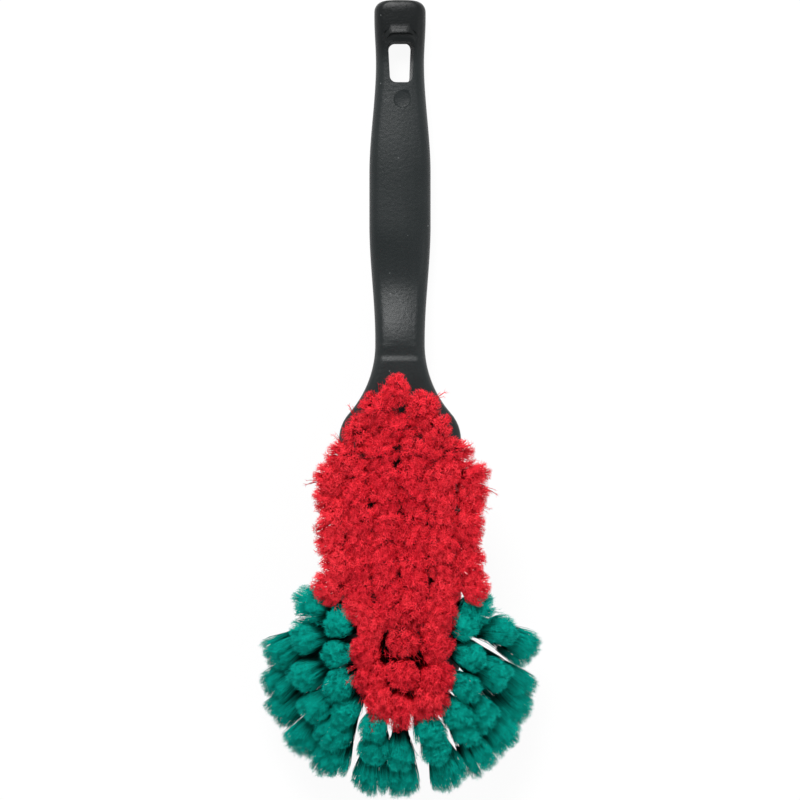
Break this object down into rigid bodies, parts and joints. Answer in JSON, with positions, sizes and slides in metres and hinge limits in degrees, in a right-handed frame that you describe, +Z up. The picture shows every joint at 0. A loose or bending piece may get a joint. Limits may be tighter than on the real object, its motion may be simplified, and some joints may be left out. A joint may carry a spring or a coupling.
{
  "type": "scrub brush",
  "caption": "Hand-held washing brush: a one-piece moulded handle and block with a hanging slot, rows of upright bristles and a round nose whose bristles fan out.",
  "frame": {"origin": "on the block's flat back, under the centre of the round nose", "axes": "+Y towards the handle's end, +X to the right as seen from the bristles, +Z up through the bristles"},
  "size_m": [0.1106, 0.3193, 0.0601],
  "materials": {
    "black_plastic": "matte, fine moulded grain",
    "red_bristles": "satin, split tips",
    "green_bristles": "satin, split tips"
  },
  "bodies": {
    "root": {"handle_block": "black_plastic", "red_row_01": "red_bristles", "red_row_02": "red_bristles", "red_row_03": "red_bristles", "red_row_04": "red_bristles", "red_row_05": "red_bristles", "red_row_06": "red_bristles", "red_row_07": "red_bristles", "red_row_08": "red_bristles", "red_row_09": "red_bristles", "red_row_10": "red_bristles", "red_row_11": "red_bristles", "red_nose_middle": "red_bristles", "red_nose_left": "red_bristles", "red_nose_right": "red_bristles", "green_inner_left": "green_bristles", "green_inner_front": "green_bristles", "green_inner_right": "green_bristles", "green_middle_left": "green_bristles", "green_middle_front": "green_bristles", "green_middle_right": "green_bristles", "green_outer_left": "green_bristles", "green_outer_front": "green_bristles", "green_outer_right": "green_bristles"}
  },
  "joints": []
}
